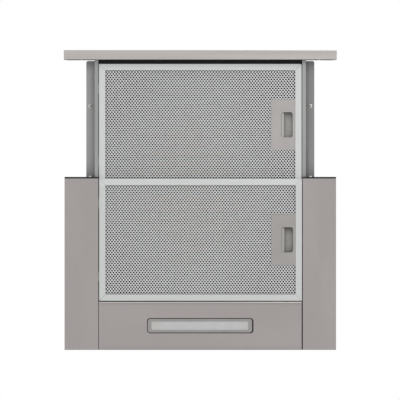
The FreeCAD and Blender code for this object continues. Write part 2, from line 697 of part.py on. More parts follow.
def visor_front_member():
    """Black cross member behind the fascia, between the rails."""
    y0 = FRONT_Y + FASCIA_DEPTH
    return block(-RAIL_WEB_X + SHEET, RAIL_WEB_X - SHEET, y0, MEMBER_BACK_Y, 14.4, VISOR_PLATE_Z)


def left_visor_rail():
    """Folded side of the visor: filter ledge with a turned up edge, web and slide cover."""
    web_in = -RAIL_WEB_X + SHEET
    ledge = block(-RAIL_LIP_X, web_in, RAIL_FRONT_Y, RAIL_BACK_Y, RAIL_Z, RAIL_Z + SHEET)
    lip = block(-RAIL_LIP_X, -RAIL_LIP_X - SHEET, MEMBER_BACK_Y, RAIL_BACK_Y, RAIL_Z, RAIL_LIP_TOP)
    web = block(-RAIL_WEB_X, web_in, RAIL_FRONT_Y, RAIL_BACK_Y, RAIL_Z, VISOR_PLATE_Z)
    cover = block(-RAIL_EDGE_X, web_in, RAIL_COVER_Y, RAIL_BACK_Y, RAIL_COVER_Z,
                  RAIL_COVER_Z + SHEET)
    corner = [edge for edge in upright_edges(cover, "Z")
              if edge.BoundBox.XMax < -RAIL_EDGE_X + 1 and edge.BoundBox.YMax < RAIL_FRONT_Y + 3]
    cover = cover.makeFillet(RAIL_CORNER, corner)
    rail = fuse(ledge, lip, web, cover)
    for y in SCREW_Y:
        rail = rail.cut(rod(1.6, 4.0, V(-SCREW_X, y, RAIL_COVER_Z - 2)))
    return rail


def visor_screws():
    """Domed, cross recessed screws under both rails."""
    dome_r = 5.2
    head_height = 1.7
    head_r = 3.8
    screws = []
    for side in (-1, 1):
        for y in SCREW_Y:
            base = V(side * SCREW_X, y, RAIL_COVER_Z)
            head = Part.makeSphere(dome_r, base + V(0, 0, dome_r - head_height))
            head = head.common(rod(head_r, head_height, base + V(0, 0, -head_height)))
            screw = fuse(head, rod(1.5, 1.5, base - V(0, 0, 0.3)))
            for turn in (20, 110):
                slot = block(-1.7, 1.7, -0.45, 0.45, -3.0, -0.6)
                slot.rotate(V(0, 0, 0), V(0, 0, 1), turn)
                screw = screw.cut(moved(slot, base.x, base.y, base.z))
            dimple = Part.makeCone(1.3, 0.5, 1.2, base + V(0, 0, -head_height - 0.1))
            screws.append(screw.cut(dimple))
    return screws


def visor_top_plate():
    """Closing plate over the front filter, with a striker for the switch."""
    y0 = FRONT_Y + FASCIA_DEPTH
    plate = block(-RAIL_WEB_X, RAIL_WEB_X, y0, PLATE_BACK_Y, VISOR_PLATE_Z, VISOR_PLATE_Z + SHEET)
    striker = block(SWITCH_X - 8, SWITCH_X + 8, PLATE_BACK_Y - 0.8, PLATE_BACK_Y,
                    PLUNGER_Z - 4, VISOR_PLATE_Z + SHEET)
    return fuse(plate, striker)


def button_bezel():
    half = BUTTON_COUNT * BUTTON_PITCH / 2 + 1.8
    frame = block(BUTTON_X - half, BUTTON_X + half, FRONT_Y + 0.2, FRONT_Y + 6,
                  BUTTON_Z - 6.8, BUTTON_Z + 6.8)
    for x in button_places():
        frame = frame.cut(block(x - BUTTON_WIDTH / 2 - 0.4, x + BUTTON_WIDTH / 2 + 0.4,
                                FRONT_Y - 1, FRONT_Y + 7,
                                BUTTON_Z - BUTTON_HEIGHT / 2 - 0.4,
                                BUTTON_Z + BUTTON_HEIGHT / 2 + 0.4))
    return frame


def button_places():
    first = BUTTON_X - (BUTTON_COUNT - 1) * BUTTON_PITCH / 2
    return [first + index * BUTTON_PITCH for index in range(BUTTON_COUNT)]


def push_button(x):
    """Flush key cap with a stem towards its switch."""
    cap = block(x - BUTTON_WIDTH / 2, x + BUTTON_WIDTH / 2, FRONT_Y + 0.4, FRONT_Y + 5,
                BUTTON_Z - BUTTON_HEIGHT / 2, BUTTON_Z + BUTTON_HEIGHT / 2)
    cap = cap.makeFillet(0.6, [edge for edge in cap.Edges if edge.BoundBox.YMax < FRONT_Y + 0.5])
    stem = block(x - 2, x + 2, FRONT_Y + 5, FRONT_Y + 8.2, BUTTON_Z - 1.5, BUTTON_Z + 1.5)
    return fuse(cap, stem)


def button_board():
    """Circuit board with one tact switch behind each button."""
    half = BUTTON_COUNT * BUTTON_PITCH / 2 + 4
    board = block(BUTTON_X - half, BUTTON_X + half, FRONT_Y + 12.4, FRONT_Y + 14.0,
                  BUTTON_Z - 8, BUTTON_Z + 8)
    switches = [block(x - 3, x + 3, FRONT_Y + 10.8, FRONT_Y + 12.4, BUTTON_Z - 3, BUTTON_Z + 3)
                for x in button_places()]
    return fuse(board, *switches)


# ---- grease filters ----
def frame_member(length, tabs):
    """Folded channel along +X, mitred at both ends, its open side facing +Y."""
    outer = [(-length / 2, 0, 0), (length / 2, 0, 0),
             (length / 2 - FRAME_FACE, FRAME_FACE, 0), (-length / 2 + FRAME_FACE, FRAME_FACE, 0)]
    mitred = polygon_prism(outer, V(0, 0, FILTER_THICK))
    hollow = block(-length, length, FRAME_WALL, FRAME_FACE + 1, FRAME_WALL, FILTER_THICK - FRAME_WALL)
    member = mitred.cut(hollow)
    if tabs:
        for x in (-TAB_SPREAD, TAB_SPREAD):
            member = member.fuse(block(x - TAB_HALF, x + TAB_HALF, -TAB_REACH, FRAME_WALL,
                                       TAB_LOW, TAB_HIGH))
        member = member.removeSplitter()
    return member


def filter_frame():
    """Four mitred channels round the mesh, a hair apart at the mitres."""
    mitre_gap = 0.15
    sides = [(FILTER_WIDTH, 0, FILTER_LENGTH, False), (FILTER_LENGTH, 90, FILTER_WIDTH, False),
             (FILTER_WIDTH, 180, FILTER_LENGTH, False), (FILTER_LENGTH, 270, FILTER_WIDTH, True)]
    members = []
    for length, turn, across, tabs in sides:
        member = moved(frame_member(length - 2 * mitre_gap, tabs), 0, -across / 2)
        member.rotate(V(0, 0, 0), V(0, 0, 1), turn)
        members.append(member)
    hole_half = BOLT_WIDTH / 2 + 0.4
    bolt_hole = block(160, 170, -hole_half, hole_half, BOLT_LOW - 0.4, BOLT_HIGH + 0.4)
    members[1] = members[1].cut(bolt_hole)
    return members


def filter_mesh():
    """Two outer sheets and a core of grease mesh, cut away round the latch."""
    edge = 1.0
    x = FILTER_WIDTH / 2 - edge
    y = FILTER_LENGTH / 2 - edge
    gap = block(LATCH_LOW_X, x + 1, -LATCH_LENGTH / 2, LATCH_LENGTH / 2, 0, FILTER_THICK)
    low = FRAME_WALL + 0.1
    high = FILTER_THICK - FRAME_WALL - 0.1
    middle = FILTER_THICK / 2
    layers = [(low, low + MESH_SKIN), (middle - MESH_CORE / 2, middle + MESH_CORE / 2),
              (high - MESH_SKIN, high)]
    return [block(-x, x, -y, y, z0, z1).cut(gap) for z0, z1 in layers]


def latch_plate():
    """Moulded plate with the finger slot and a pocket for the sliding handle."""
    half = LATCH_LENGTH / 2
    body = block(LATCH_LOW_X + 0.1, LATCH_HIGH_X - 0.1, -half + 0.1, half - 0.1, 0.3, 8.4)
    slot = rounded_plate(SLOT_LOW_X, SLOT_HIGH_X, -SLOT_LENGTH / 2, SLOT_LENGTH / 2,
                         -1, 3.0, SLOT_CORNER)
    pocket = block(122, LATCH_HIGH_X + 1, -24, 24, 1.8, 7.4)
    return body.cut(slot).cut(pocket)


def latch_handle():
    """Sliding bolt: a floor above the finger recess, a sloping pull lip and the bolt."""
    lip_profile = [(131.0, 0, 2.3), (134.4, 0, 2.3), (137.5, 0, 2.9), (138.0, 0, 6.0),
                   (131.0, 0, 6.0)]
    lip = moved(polygon_prism(lip_profile, V(0, 44, 0)), 0, -22)
    floor = block(130.0, 155.0, -22, 22, 6.0, BOLT_HIGH)
    bolt = block(150.0, FILTER_WIDTH / 2 + BOLT_REACH, -BOLT_WIDTH / 2, BOLT_WIDTH / 2,
                 BOLT_LOW, BOLT_HIGH)
    return fuse(lip, floor, bolt)


def latch_spring():
    """Coil spring of half turns that pushes the bolt out, in the pocket behind the handle."""
    half_turn = SPRING_LENGTH / SPRING_HALF_TURNS
    ring_r = math.hypot(SPRING_R, half_turn / 2)
    tilt = math.degrees(math.atan2(half_turn / 2, SPRING_R))
    turns = []
    for index in range(SPRING_HALF_TURNS):
        side = 1 if index % 2 == 0 else -1
        half_ring = Part.makeTorus(ring_r, SPRING_WIRE_R, V(0, 0, 0), V(0, 0, 1), 0, 360, 180)
        half_ring.rotate(V(0, 0, 0), V(0, 0, 1), 90 - 90 * side)
        half_ring.rotate(V(0, 0, 0), V(0, 1, 0), side * tilt)
        turns.append(moved(half_ring, 0, 0, (index + 0.5) * half_turn))
    spring = fuse(*turns)
    spring.rotate(V(0, 0, 0), V(0, 1, 0), 90)
    return moved(spring, SPRING_X, 0, FILTER_THICK / 2)


def save_filter(name, x, y, z):
    for piece, shapes in (("filter_frame", filter_frame()), ("filter_mesh", filter_mesh()),
                          ("latch_plate", [latch_plate()]), ("latch_handle", [latch_handle()]),
                          ("latch_spring", [latch_spring()])):
        save(name + "_" + piece, *[moved(shape, x, y, z) for shape in shapes])


def save_body():
    save("left_cheek_panel", left_cheek_panel())
    save("right_cheek_panel", right_cheek_panel())
    save("bumper_strips", *bumper_strips())
    save("left_side_wall", side_wall(-1))
    save("right_side_wall", side_wall(1))
    save("back_wall", back_wall())
    save("top_deck", *top_deck())
    save("lamp_panel", lamp_panel())
    save("lamp_bezel", lamp_bezel())
    save("lamp_lens", lamp_lens())
    save("lamp_board", lamp_board())


def save_blower():
    save("motor_housing_wrap", *motor_housing_walls())
    save("motor_housing_lid", motor_housing_lid())
    save("volute_wall", volute_wall())
    save("volute_lid", volute_lid())
    save("outlet_partition", outlet_partition())
    save("motor_body", motor_body())
    save("motor_mounts", *motor_mounts())
    save("motor_shaft", motor_shaft())
    save("impeller", *impeller())
    save("impeller_blades", *impeller_blades())
    save("duct_collar", duct_collar())
    save("front_damper_flap", damper_flap(-1))
    save("rear_damper_flap", damper_flap(1))
    save("control_box", control_box())
    save("control_board", control_board())
    save("capacitor", capacitor())
    save("terminal_block", terminal_block())
    save("cable_gland", cable_gland())
    save("microswitch_body", microswitch_body())
    save("microswitch_plunger", microswitch_plunger())


def save_visor():
    for name, make in (("slide_outer", left_slide_outer), ("slide_inner", left_slide_inner),
                       ("slide_cage", left_slide_cage), ("visor_rail", left_visor_rail)):
        shape = make()
        save("left_" + name, shape)
        save("right_" + name, mirrored(shape))
    save("fascia", fascia())
    save("fascia_back_plate", *fascia_back_plate())
    save("visor_front_member", visor_front_member())
    save("visor_screws", *visor_screws())
    save("visor_top_plate", visor_top_plate())
    save("button_bezel", button_bezel())
    save("button_board", button_board())
    for index, x in enumerate(button_places()):
        save("push_button_" + str(index + 1), push_button(x))


os.makedirs("parts", exist_ok=True)
save_body()
save_blower()
save_visor()
save_filter("front", 0.0, FRONT_FILTER_Y, FRONT_FILTER_Z)
save_filter("rear", REAR_FILTER_X, REAR_FILTER_Y, REAR_FILTER_Z)
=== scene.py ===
import json
import math

import bmesh
import bpy
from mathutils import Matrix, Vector


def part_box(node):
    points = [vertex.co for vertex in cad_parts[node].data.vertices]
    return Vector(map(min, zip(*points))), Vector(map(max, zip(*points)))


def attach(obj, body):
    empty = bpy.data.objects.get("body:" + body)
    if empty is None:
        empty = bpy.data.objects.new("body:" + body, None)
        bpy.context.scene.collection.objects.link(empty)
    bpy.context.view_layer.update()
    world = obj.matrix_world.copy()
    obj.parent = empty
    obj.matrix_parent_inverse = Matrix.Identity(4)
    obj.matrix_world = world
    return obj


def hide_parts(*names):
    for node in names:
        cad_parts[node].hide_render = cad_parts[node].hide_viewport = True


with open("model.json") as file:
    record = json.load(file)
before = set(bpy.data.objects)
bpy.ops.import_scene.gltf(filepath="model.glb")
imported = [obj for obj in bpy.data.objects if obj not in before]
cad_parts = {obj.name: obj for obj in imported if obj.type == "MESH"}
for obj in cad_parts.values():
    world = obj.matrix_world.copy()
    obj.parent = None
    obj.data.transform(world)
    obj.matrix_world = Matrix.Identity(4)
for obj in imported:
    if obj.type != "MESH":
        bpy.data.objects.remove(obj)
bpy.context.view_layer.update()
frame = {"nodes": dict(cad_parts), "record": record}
MM = 0.001
nodes_of = frame["nodes"]

RAIL_FRONT_Y = -230.5 * MM
BODY_FRONT_Y = -36.0 * MM
BODY_BACK_Y = 246.3 * MM
DECK_TOP = 46.0 * MM
SLIDE_COVER_X = 173.4 * MM   # inner edge of the covers over the slides, on both sides
RAIL_SCREW_R = 3.8 * MM
RAIL_SCREW_Y = (-154.6 * MM, -36.4 * MM, 24.0 * MM)
HANDLE_LIP = 4.6 * MM        # from a latch handle's left end to its pull lip
HANDLE_FLOOR = 7.9 * MM      # and to the floor behind the lip

STAINLESS = (0.400, 0.368, 0.364)
FILTER_ALUMINIUM = (0.66, 0.675, 0.665)
RAIL_COLOUR = (0.36, 0.36, 0.36)
SOOT_BLACK = (0.018, 0.018, 0.019)
LENS_END_COLOUR = (0.468, 0.463, 0.445)
MESH_COLOUR = (0.90, 0.905, 0.905)
# Near-black core: painted shade seen through the mesh openings, on a part that is aluminium.
CORE_SHADE_COLOUR = (0.050, 0.050, 0.052)


# ---------------------------------------------------------------- node material helpers
class Graph:
    """One procedural material: a Principled shader and the nodes that feed it."""

    def __init__(self, name, metallic=0.0, roughness=0.5):
        self.material = bpy.data.materials.new(name)
        self.material.use_nodes = True
        self.tree = self.material.node_tree
        self.shader = self.tree.nodes["Principled BSDF"]
        self.shader.inputs["Metallic"].default_value = metallic
        self.shader.inputs["Roughness"].default_value = roughness
        self.place = self.add("ShaderNodeTexCoord").outputs["Object"]

    def add(self, kind, **settings):
        node = self.tree.nodes.new(kind)
        for key, value in settings.items():
            setattr(node, key, value)
        return node

    def link(self, source, target):
        self.tree.links.new(source, target)

    def stretched(self, scale):
        """Object coordinates scaled by three factors, in cycles per metre."""
        mapping = self.add("ShaderNodeMapping")
        mapping.inputs["Scale"].default_value = scale
        self.link(self.place, mapping.inputs["Vector"])
        return mapping.outputs["Vector"]

    def axes(self):
        """The X and Y outputs of the object coordinates."""
        split = self.add("ShaderNodeSeparateXYZ")
        self.link(self.place, split.inputs["Vector"])
        return split.outputs["X"], split.outputs["Y"]

    def noise(self, scale, detail=3.0, roughness=0.6):
        """Noise between 0 and 1; scale is one number or three, in cycles per metre."""
        if isinstance(scale, (int, float)):
            scale = (scale, scale, scale)
        texture = self.add("ShaderNodeTexNoise")
        texture.inputs["Scale"].default_value = 1.0
        texture.inputs["Detail"].default_value = detail
        texture.inputs["Roughness"].default_value = roughness
        self.link(self.stretched(scale), texture.inputs["Vector"])
        return texture.outputs["Fac"]

    def cells(self, scale):
        """Voronoi texture for spangle, in cells per metre."""
        texture = self.add("ShaderNodeTexVoronoi")
        texture.inputs["Scale"].default_value = 1.0
        self.link(self.stretched((scale, scale, scale)), texture.inputs["Vector"])
        return texture

    def spread(self, source, low, high, start=0.3, end=0.7):
        """Maps source from start..end to low..high."""
        node = self.add("ShaderNodeMapRange")
        self.link(source, node.inputs["Value"])
        for key, value in (("From Min", start), ("From Max", end), ("To Min", low), ("To Max", high)):
            node.inputs[key].default_value = value
        return node.outputs["Result"]

    def blend(self, factor, first, second, mode="MIX"):
        """Mixes two colours (or outputs) by a factor output or number."""
        node = self.add("ShaderNodeMix", data_type="RGBA", blend_type=mode)
        for socket, value in ((node.inputs["Factor"], factor), (node.inputs[6], first),
                              (node.inputs[7], second)):
            if isinstance(value, bpy.types.NodeSocket):
                self.link(value, socket)
            elif isinstance(value, (int, float)):
                socket.default_value = value
            else:
                socket.default_value = (*value, 1.0)
        return node.outputs[2]

    def math(self, operation, first, second):
        node = self.add("ShaderNodeMath", operation=operation)
        for socket, value in ((node.inputs[0], first), (node.inputs[1], second)):
            if isinstance(value, bpy.types.NodeSocket):
                self.link(value, socket)
            else:
                socket.default_value = value
        return node.outputs[0]

    def edge_wear(self, radius):
        """Nearly 1 along sharp edges within radius, and 0 on flat faces."""
        bevel = self.add("ShaderNodeBevel", samples=4)
        bevel.inputs["Radius"].default_value = radius
        geometry = self.add("ShaderNodeNewGeometry")
        dot = self.add("ShaderNodeVectorMath", operation="DOT_PRODUCT")
        self.link(bevel.outputs["Normal"], dot.inputs[0])
        self.link(geometry.outputs["Normal"], dot.inputs[1])
        return self.spread(dot.outputs["Value"], 1.0, 0.0, 0.75, 0.98)

    def worn(self, shade, colour, radius, strength):
        """Lays a colour over shade where sharp edges are rubbed."""
        return self.blend(self.math("MULTIPLY", self.edge_wear(radius), strength), shade, colour)

    def bump(self, height, distance, strength=1.0):
        node = self.add("ShaderNodeBump")
        node.inputs["Strength"].default_value = strength
        node.inputs["Distance"].default_value = distance
        self.link(height, node.inputs["Height"])
        self.link(node.outputs["Normal"], self.shader.inputs["Normal"])

    def colour(self, output):
        self.link(output, self.shader.inputs["Base Color"])

    def rough(self, output):
        self.link(output, self.shader.inputs["Roughness"])


def tinted(colour, factor):
    return tuple(min(1.0, channel * factor) for channel in colour)


def grain_scale(across, axis, along):
    """Noise scale for a grain that runs along one axis, in cycles per metre."""
    scale = [across] * 3
    scale["XYZ".index(axis)] = along
    return tuple(scale)


# ---------------------------------------------------------------- materials
def brushed_sheet(name, colour, along, metallic=0.85, rough=(0.30, 0.44), fold_y=None):
    """Brushed stainless sheet; the grain runs along one axis. A painted highlight marks the folded
    edge at fold_y, with painted shade in the seam beside it, on the strip behind it and along the
    body's back edge.
    """
    graph = Graph(name, metallic)
    grain = graph.noise(grain_scale(4200.0, along, 22.0), 4.0)
    streaks = graph.noise(grain_scale(320.0, along, 5.0), 3.0)
    clouds = graph.noise(9.0, 4.0)
    smears = graph.noise(55.0, 5.0, 0.7)
    shade = graph.blend(graph.spread(grain, 0.0, 1.0), tinted(colour, 0.93), tinted(colour, 1.05))
    shade = graph.blend(graph.spread(streaks, 0.0, 0.35), shade, tinted(colour, 0.96))
    shade = graph.blend(graph.spread(clouds, 0.0, 0.30), shade, tinted(colour, 1.04))
    shade = graph.worn(shade, tinted(colour, 1.22), 0.5 * MM, 0.35)
    if fold_y is not None:
        along_y = graph.axes()[1]
        # painted shade on the strip behind the folded edge
        painted_shade = graph.spread(along_y, 0.45, 0.0, fold_y + 1.5 * MM, fold_y + 6.0 * MM)
        shade = graph.blend(painted_shade, shade, tinted(colour, 0.60))
        # painted highlight along the folded edge
        fold_highlight = graph.spread(along_y, 1.0, 0.0, fold_y + 0.9 * MM, fold_y + 1.5 * MM)
        shade = graph.blend(fold_highlight, shade, tinted(colour, 1.85))
        # painted shade in the seam at the panel's front edge
        gap_shade = graph.spread(along_y, 1.0, 0.0, fold_y + 0.05 * MM, fold_y + 0.4 * MM)
        shade = graph.blend(gap_shade, shade, tinted(colour, 0.15))
        # painted shade along the body's back edge
        back = graph.spread(along_y, 0.0, 0.35, BODY_BACK_Y - 8.3 * MM, BODY_BACK_Y - 0.1 * MM)
        shade = graph.blend(back, shade, tinted(colour, 0.70))
    graph.colour(shade)
    polish = graph.math("ADD", graph.spread(grain, rough[0], rough[1]),
                        graph.spread(smears, -0.03, 0.06, 0.45, 0.75))
    graph.rough(polish)
    graph.shader.inputs["Anisotropic"].default_value = 0.35
    graph.bump(grain, 0.02 * MM, 0.35)
    return graph.material


def galvanised_sheet():
    """Hot dip galvanised steel with spangle, dull runs and handling marks."""
    colour = (0.50, 0.52, 0.53)
    graph = Graph("galvanised", 0.75)
    spangle = graph.cells(110.0)
    tone = graph.add("ShaderNodeSeparateColor")
    graph.link(spangle.outputs["Color"], tone.inputs["Color"])
    facets = tone.outputs["Red"]
    clouds = graph.noise(14.0, 5.0)
    scuffs = graph.noise((900.0, 60.0, 300.0), 3.0)
    shade = graph.blend(graph.spread(facets, 0.0, 1.0, 0.0, 1.0), tinted(colour, 0.86),
                        tinted(colour, 1.12))
    shade = graph.blend(graph.spread(clouds, 0.0, 0.5), shade, tinted(colour, 0.90))
    shade = graph.blend(graph.spread(scuffs, 0.0, 0.35, 0.62, 0.8), shade, tinted(colour, 1.3))
    shade = graph.worn(shade, tinted(colour, 1.35), 0.6 * MM, 0.5)
    graph.colour(shade)
    graph.rough(graph.math("ADD", graph.spread(facets, 0.34, 0.52, 0.0, 1.0),
                           graph.spread(clouds, -0.04, 0.08)))
    graph.bump(graph.math("ADD", facets, clouds), 0.03 * MM, 0.25)
    return graph.material


def satin_aluminium(name, colour, along, painted_shade_front=None, painted_shade_back=None):
    """Rolled aluminium with faint drawing lines and a soft oxide bloom.

    Painted shade makes members in front of the given front limit, or behind the given back limit, a
    little darker.
    """
    graph = Graph(name, 0.7)
    rolled = graph.noise(grain_scale(2600.0, along, 30.0), 3.0)
    bloom = graph.noise(38.0, 5.0, 0.65)
    shade = graph.blend(graph.spread(rolled, 0.0, 1.0), tinted(colour, 0.94), tinted(colour, 1.04))
    shade = graph.blend(graph.spread(bloom, 0.0, 0.45), shade, tinted(colour, 0.95))
    shade = graph.worn(shade, tinted(colour, 1.18), 0.4 * MM, 0.4)
    along_y = graph.axes()[1]
    # painted shade: darker towards the front edge of the frame
    if painted_shade_front is not None:
        shade = graph.blend(graph.spread(along_y, 1.0, 0.0, painted_shade_front - 10.0 * MM, painted_shade_front),
                            shade, tinted(colour, 0.86))
    # painted shade: the frame behind its front member is a little darker
    if painted_shade_back is not None:
        shade = graph.blend(graph.spread(along_y, 0.0, 1.0, painted_shade_back, painted_shade_back + 2.0 * MM),
                            shade, tinted(colour, 0.92))
    graph.colour(shade)
    graph.rough(graph.math("ADD", graph.spread(rolled, 0.30, 0.42), graph.spread(bloom, 0.0, 0.1)))
    graph.bump(rolled, 0.02 * MM, 0.3)
    return graph.material


def plated_steel(name, colour, roughness=0.32):
    """Zinc plated or ground steel with fine mottling and rubbed edges."""
    graph = Graph(name, 0.85)
    mottle = graph.noise(420.0, 4.0)
    stain = graph.noise(60.0, 4.0)
    shade = graph.blend(graph.spread(mottle, 0.0, 1.0), tinted(colour, 0.88), tinted(colour, 1.08))
    shade = graph.blend(graph.spread(stain, 0.0, 0.4, 0.5, 0.8), shade, tinted(colour, 0.8))
    shade = graph.worn(shade, tinted(colour, 1.3), 0.3 * MM, 0.5)
    graph.colour(shade)
    graph.rough(graph.math("ADD", graph.spread(mottle, roughness - 0.06, roughness + 0.08),
                           graph.spread(stain, 0.0, 0.08)))
    graph.bump(mottle, 0.02 * MM, 0.25)
    return graph.material


def moulded_plastic(name, colour, roughness, grain=1500.0, coat=0.0, sheen=0.5):
    """Spark eroded moulding texture with faint flow clouds and shinier rubbed edges."""
    graph = Graph(name, 0.0)
    texture = graph.noise(grain, 3.0, 0.7)
    flow = graph.noise(30.0, 4.0)
    dust = graph.noise(260.0, 5.0, 0.75)
    shade = graph.blend(graph.spread(flow, 0.0, 1.0), tinted(colour, 0.94), tinted(colour, 1.05))
    shade = graph.blend(graph.spread(dust, 0.0, 0.25, 0.6, 0.8), shade, tinted(colour, 1.25))
    shade = graph.worn(shade, tinted(colour, 1.3), 0.4 * MM, 0.4)
    graph.colour(shade)
    graph.rough(graph.math("ADD", graph.spread(texture, roughness - 0.08, roughness + 0.08),
                           graph.spread(dust, -0.02, 0.06)))
    graph.shader.inputs["Specular IOR Level"].default_value = sheen
    graph.shader.inputs["Coat Weight"].default_value = coat
    graph.shader.inputs["Coat Roughness"].default_value = 0.25
    graph.bump(texture, 0.03 * MM, 0.35)
    return graph.material


def frosted_lens():
    """Pressed diffuser: fine prism grid under a satin skin."""
    colour = (0.50, 0.50, 0.51)
    graph = Graph("lens_plastic", 0.0)
    prism = graph.add("ShaderNodeTexVoronoi", feature="F1", distance="CHEBYCHEV")
    prism.inputs["Scale"].default_value = 1.0
    prism.inputs["Randomness"].default_value = 0.0
    graph.link(graph.stretched((480.0, 480.0, 480.0)), prism.inputs["Vector"])
    haze = graph.noise(70.0, 3.0)
    shade = graph.blend(graph.spread(prism.outputs["Distance"], 0.0, 1.0, 0.0, 0.5),
                        tinted(colour, 1.05), tinted(colour, 0.92))
    shade = graph.blend(graph.spread(haze, 0.0, 0.4), shade, tinted(colour, 1.07))
    # the lens is darker and a little warmer towards both ends
    across = graph.math("ABSOLUTE", graph.axes()[0], 0.0)
    toward_ends = graph.spread(across, 0.0, 1.0, 58.0 * MM, 72.0 * MM)
    graph.colour(graph.blend(toward_ends, shade, LENS_END_COLOUR))
    graph.rough(graph.spread(haze, 0.30, 0.46))
    graph.shader.inputs["Coat Weight"].default_value = 0.3
    graph.shader.inputs["Coat Roughness"].default_value = 0.2
    graph.shader.inputs["Subsurface Weight"].default_value = 0.1
    graph.shader.inputs["Subsurface Radius"].default_value = (2.0 * MM, 2.0 * MM, 2.0 * MM)
    graph.bump(prism.outputs["Distance"], 0.15 * MM, 0.4)
    return graph.material


def black_rubber():
    graph = Graph("black_rubber", 0.0)
    colour = SOOT_BLACK
    pores = graph.noise(2200.0, 3.0, 0.7)
    dust = graph.noise(120.0, 5.0, 0.7)
    shade = graph.blend(graph.spread(dust, 0.0, 0.5, 0.5, 0.8), colour, (0.05, 0.048, 0.045))
    graph.colour(graph.blend(graph.spread(pores, 0.0, 0.4), shade, tinted(colour, 0.7)))
    graph.rough(graph.spread(dust, 0.72, 0.9))
    graph.bump(pores, 0.04 * MM, 0.5)
    return graph.material


def circuit_board():
    """Solder mask over faint copper tracks."""
    graph = Graph("circuit_board", 0.0)
    tracks = graph.add("ShaderNodeTexBrick")
    tracks.inputs["Scale"].default_value = 1.0
    tracks.inputs["Mortar Size"].default_value = 0.06
    tracks.inputs["Color1"].default_value = (0.020, 0.120, 0.050, 1.0)
    tracks.inputs["Color2"].default_value = (0.024, 0.140, 0.060, 1.0)
    tracks.inputs["Mortar"].default_value = (0.060, 0.230, 0.100, 1.0)
    graph.link(graph.stretched((160.0, 160.0, 160.0)), tracks.inputs["Vector"])
    mask = graph.noise(500.0, 3.0)
    graph.colour(graph.blend(graph.spread(mask, 0.0, 0.2), tracks.outputs["Color"],
                             (0.03, 0.18, 0.08)))
    graph.rough(graph.spread(mask, 0.25, 0.42))
    graph.bump(tracks.outputs["Fac"], 0.05 * MM, 0.4)
    return graph.material


MATERIALS = {
    "stainless": brushed_sheet("stainless", STAINLESS, "Y"),
    # fascia steel: the body's stainless, brushed across; its lighter colour is painted light for the
    # brighter light on the fascia
    "fascia_steel": brushed_sheet("fascia_steel", (0.520, 0.490, 0.470), "X"),
    "galvanised": galvanised_sheet(),
    "dark_sheet": moulded_plastic("dark_sheet", (0.010, 0.010, 0.010), 0.65, 2400.0, sheen=0.15),
    "filter_aluminium": satin_aluminium("filter_aluminium", FILTER_ALUMINIUM, "Y"),
    "latch_plastic": moulded_plastic("latch_plastic", (0.39, 0.370, 0.362), 0.5),
    "black_plastic": moulded_plastic("black_plastic", (0.022, 0.022, 0.024), 0.42),
    "black_rubber": black_rubber(),
    "lamp_plastic": moulded_plastic("lamp_plastic", (0.285, 0.276, 0.267), 0.45),
    "lens_plastic": frosted_lens(),
    "circuit_board": circuit_board(),
    "zinc_screw": plated_steel("zinc_screw", (0.62, 0.61, 0.58), 0.28),
    "spring_steel": plated_steel("spring_steel", (0.50, 0.50, 0.50), 0.25),
    "slide_steel": plated_steel("slide_steel", (0.55, 0.56, 0.57), 0.34),
    "motor_steel": plated_steel("motor_steel", (0.32, 0.33, 0.35), 0.42),
    "shaft_steel": plated_steel("shaft_steel", (0.58, 0.58, 0.58), 0.2),
    "white_plastic": moulded_plastic("white_plastic", (0.72, 0.71, 0.68), 0.45),
    "capacitor_shell": moulded_plastic("capacitor_shell", (0.66, 0.66, 0.64), 0.3, 900.0, 0.3),
    "button_plastic": moulded_plastic("button_plastic", (0.06, 0.06, 0.064), 0.32, 1800.0, 0.4),
}


def rail_sheet():
    """Brushed sheet of the visor rails; painted shade darkens the slide covers near the step, towards
    the fascia and the body, and most on the right.
    """
    graph = Graph("rail_sheet", 0.8)
    grain = graph.noise(grain_scale(4200.0, "Y", 22.0), 4.0)
    clouds = graph.noise(14.0, 4.0)
    signed_x, along_y = graph.axes()
    across = graph.math("ABSOLUTE", signed_x, 0.0)
    cover = graph.spread(across, 0.0, 1.0, SLIDE_COVER_X, SLIDE_COVER_X + 0.7 * MM)
    # painted shade: darker near the inner step of each slide cover
    inward = graph.spread(across, 1.0, 0.0, SLIDE_COVER_X + 0.6 * MM, SLIDE_COVER_X + 12.6 * MM)
    shade = graph.blend(graph.spread(grain, 0.0, 1.0), tinted(RAIL_COLOUR, 0.94),
                        tinted(RAIL_COLOUR, 1.05))
    shade = graph.blend(graph.spread(clouds, 0.0, 0.4), shade, tinted(RAIL_COLOUR, 1.04))
    # painted shade over the slide covers
    painted_shade = graph.blend(inward, tinted(RAIL_COLOUR, 0.90), tinted(RAIL_COLOUR, 0.74))
    # painted shade: the right-hand cover is darker
    on_right = graph.spread(signed_x, 0.0, 1.0, -SLIDE_COVER_X / 2, SLIDE_COVER_X / 2)
    painted_shade = graph.blend(graph.math("MULTIPLY", on_right, 0.38), painted_shade, tinted(RAIL_COLOUR, 0.40))
    right_edge_shade = graph.spread(signed_x, 0.6, 0.0, SLIDE_COVER_X + 1.1 * MM, SLIDE_COVER_X + 6.6 * MM)
    right_edge_shade = graph.math("MULTIPLY", right_edge_shade, on_right)
    painted_shade = graph.blend(right_edge_shade, painted_shade, tinted(RAIL_COLOUR, 0.38))
    # painted shade towards the fascia end and the body end
    end_shade = graph.spread(along_y, 1.0, 0.0, RAIL_FRONT_Y + 3.0 * MM, RAIL_FRONT_Y + 18.5 * MM)
    back_end_shade = graph.spread(along_y, 0.0, 1.0, BODY_FRONT_Y - 26.0 * MM, BODY_FRONT_Y)
    end_shade = graph.math("ADD", end_shade, back_end_shade)
    painted_shade = graph.blend(graph.math("MULTIPLY", end_shade, 0.5), painted_shade, tinted(RAIL_COLOUR, 0.30))
    shade = graph.blend(cover, shade, graph.blend(graph.spread(grain, 0.0, 0.3), painted_shade, RAIL_COLOUR))
    graph.colour(shade)
    graph.rough(graph.math("ADD", graph.spread(grain, 0.32, 0.44), graph.spread(clouds, 0.0, 0.1)))
    graph.shader.inputs["Anisotropic"].default_value = 0.35
    graph.bump(grain, 0.02 * MM, 0.35)
    return graph.material


